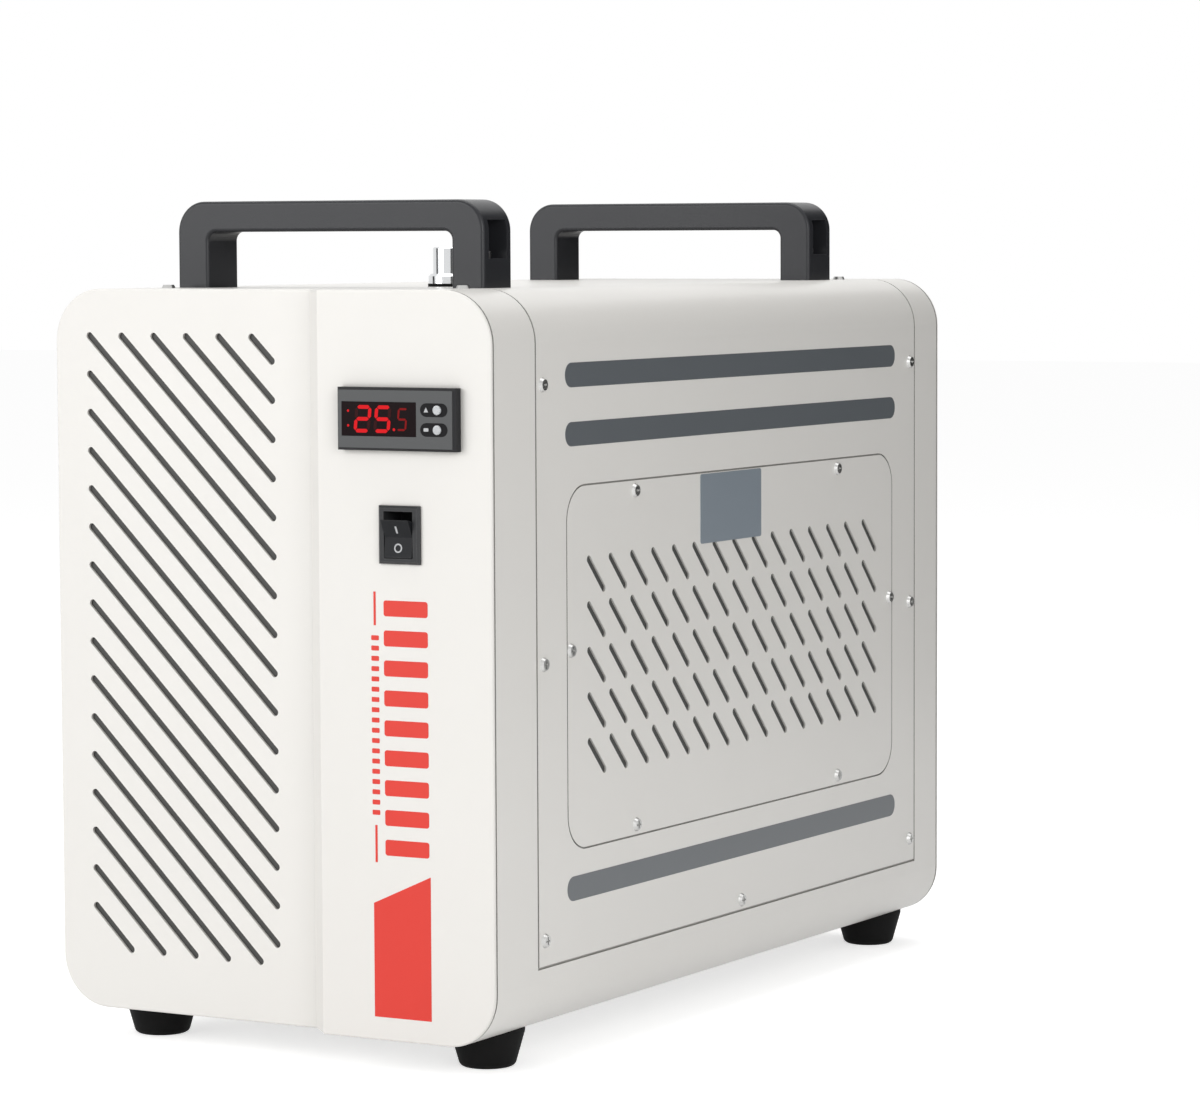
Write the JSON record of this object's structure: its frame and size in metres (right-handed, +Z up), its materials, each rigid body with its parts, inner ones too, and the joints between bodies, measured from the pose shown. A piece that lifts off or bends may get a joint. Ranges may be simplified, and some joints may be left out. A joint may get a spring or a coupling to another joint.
{
  "type": "recirculating chiller",
  "caption": "Bench-size recirculating chiller: sheet-metal casing with slotted front and vented sides, carrying handles, thermostat, rocker switch, top filler, rear fan and hose fittings",
  "frame": {"origin": "middle of the whole object's footprint, on the surface that the feet stand on", "axes": "+X to the right seen from the front, +Y from the front to the rear, +Z up"},
  "size_m": [0.2936, 0.58, 0.4685],
  "materials": {
    "white_paint": "fine powder coat",
    "bolt_steel": "zinc plated",
    "black_plastic": "moulded",
    "gloss_black": "moulded",
    "foot_rubber": "matt",
    "chrome": "polished",
    "film_grey": "printed film",
    "dark_window": "tinted",
    "silver_button": "metallised",
    "filter_mesh": "woven mesh",
    "galvanised": "galvanised",
    "can_black": "gloss enamel",
    "copper": "drawn tube",
    "brass": "machined",
    "tank_plastic": "natural polyethylene",
    "hose_rubber": "reinforced",
    "clear_hose": "clear tube",
    "aluminium": "mill finish",
    "pump_grey": "enamel",
    "box_grey": "moulded"
  },
  "bodies": {
    "casing": {"chassis": "white_paint", "front_panel": "white_paint", "rear_panel": "white_paint", "top_cover": "white_paint", "vent_panel_left": "white_paint", "vent_panel_right": "white_paint", "casing_screws": "bolt_steel", "vent_panel_screws": "bolt_steel", "handle_bolts": "bolt_steel", "foot_bolts": "bolt_steel", "compressor_bolts": "bolt_steel", "handle_front": "black_plastic", "handle_rear": "black_plastic", "filler_neck": "chrome", "filler_gasket": "foot_rubber", "foot_front_left": "foot_rubber", "foot_front_right": "foot_rubber", "foot_rear_left": "foot_rubber", "foot_rear_right": "foot_rubber", "compressor_mounts": "foot_rubber", "controller_case": "black_plastic", "controller_film": "film_grey", "display_window": "dark_window", "switch_housing": "gloss_black", "front_filter": "filter_mesh", "vent_filter_left": "filter_mesh", "vent_filter_right": "filter_mesh", "fan_guard": "galvanised", "fan_shroud": "galvanised", "motor_bracket": "galvanised", "electrics_tray": "galvanised", "fan_motor": "can_black", "condenser": "aluminium", "compressor": "can_black", "discharge_pipe": "copper", "filter_drier": "copper", "liquid_line": "copper", "suction_pipe": "copper", "evaporator_coil": "bolt_steel", "water_tank": "tank_plastic", "filler_hose": "hose_rubber", "pump": "pump_grey", "pump_hose": "hose_rubber", "outlet_hose": "hose_rubber", "return_hose": "hose_rubber", "outlet_fitting": "brass", "inlet_fitting": "brass", "drain_pipe": "hose_rubber", "level_gauge": "clear_hose", "gauge_hoses": "clear_hose", "mains_inlet": "black_plastic", "alarm_socket": "bolt_steel", "relay_box": "box_grey"},
    "fan": {"fan_rotor": "black_plastic"},
    "rocker": {"switch_rocker": "gloss_black"},
    "up_button": {"button_up": "silver_button"},
    "set_button": {"button_set": "silver_button"},
    "cap": {"filler_cap": "chrome"},
    "drain_plug": {"drain_cap": "black_plastic"},
    "drawer": {"fuse_drawer": "black_plastic"}
  },
  "joints": [
    {"name": "fan_spin", "type": "hinge", "parent": "casing", "child": "fan", "pos_m": [0, 0.2395, 0.2815], "axis": [0, 1, 0], "continuous": true},
    {"name": "rocker_tilt", "type": "hinge", "parent": "casing", "child": "rocker", "pos_m": [0.0885, -0.2775, 0.2911], "axis": [-1, 0, 0], "range_deg": [0, 22]},
    {"name": "up_press", "type": "slide", "parent": "casing", "child": "up_button", "axis": [0, 1, 0], "range_m": [0, 0.0006], "stiffness_N_per_m": 800},
    {"name": "set_press", "type": "slide", "parent": "casing", "child": "set_button", "axis": [0, 1, 0], "range_m": [0, 0.0006], "stiffness_N_per_m": 800},
    {"name": "cap_lift", "type": "slide", "parent": "casing", "child": "cap", "axis": [0, 0, 1], "range_m": [0, 0.03]},
    {"name": "drain_pull", "type": "slide", "parent": "casing", "child": "drain_plug", "axis": [0, 1, 0], "range_m": [0, 0.02]},
    {"name": "drawer_pull", "type": "slide", "parent": "casing", "child": "drawer", "axis": [0, 1, 0], "range_m": [0, 0.022]}
  ]
}
